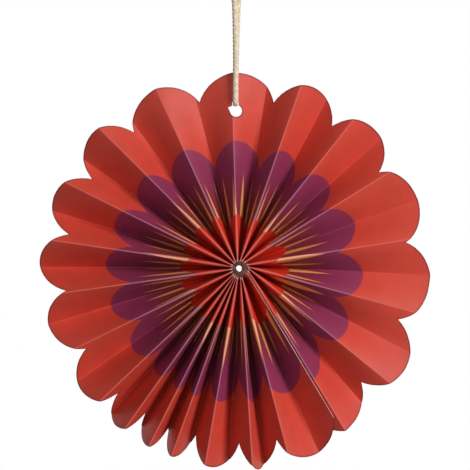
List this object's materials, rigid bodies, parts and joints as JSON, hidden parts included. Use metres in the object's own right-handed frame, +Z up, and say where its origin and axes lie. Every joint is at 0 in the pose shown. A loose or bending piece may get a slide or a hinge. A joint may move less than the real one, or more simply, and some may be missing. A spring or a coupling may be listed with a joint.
{
  "type": "paper fan rosette",
  "caption": "Hanging paper rosette: a scalloped card strip pleated into a round fan, glued at the hub, on a loop of twine tied in a knot.",
  "frame": {"origin": "the hanging point, where a hook carries the twine loop just under its knot", "axes": "+Z up, -Y is the printed front, +X to the right seen from the front; the fan's middle plane is across Y"},
  "size_m": [0.1953, 0.0216, 0.2623],
  "materials": {
    "printed_card": "smooth printed card, matt, coral red with a purple band",
    "dried_glue": "dried craft glue, cloudy, slightly shiny",
    "twine": "undyed two-ply twine"
  },
  "bodies": {
    "root": {"pleated_fan": "printed_card", "hub_glue": "dried_glue", "twine": "twine", "twine_knot": "twine"}
  },
  "joints": []
}
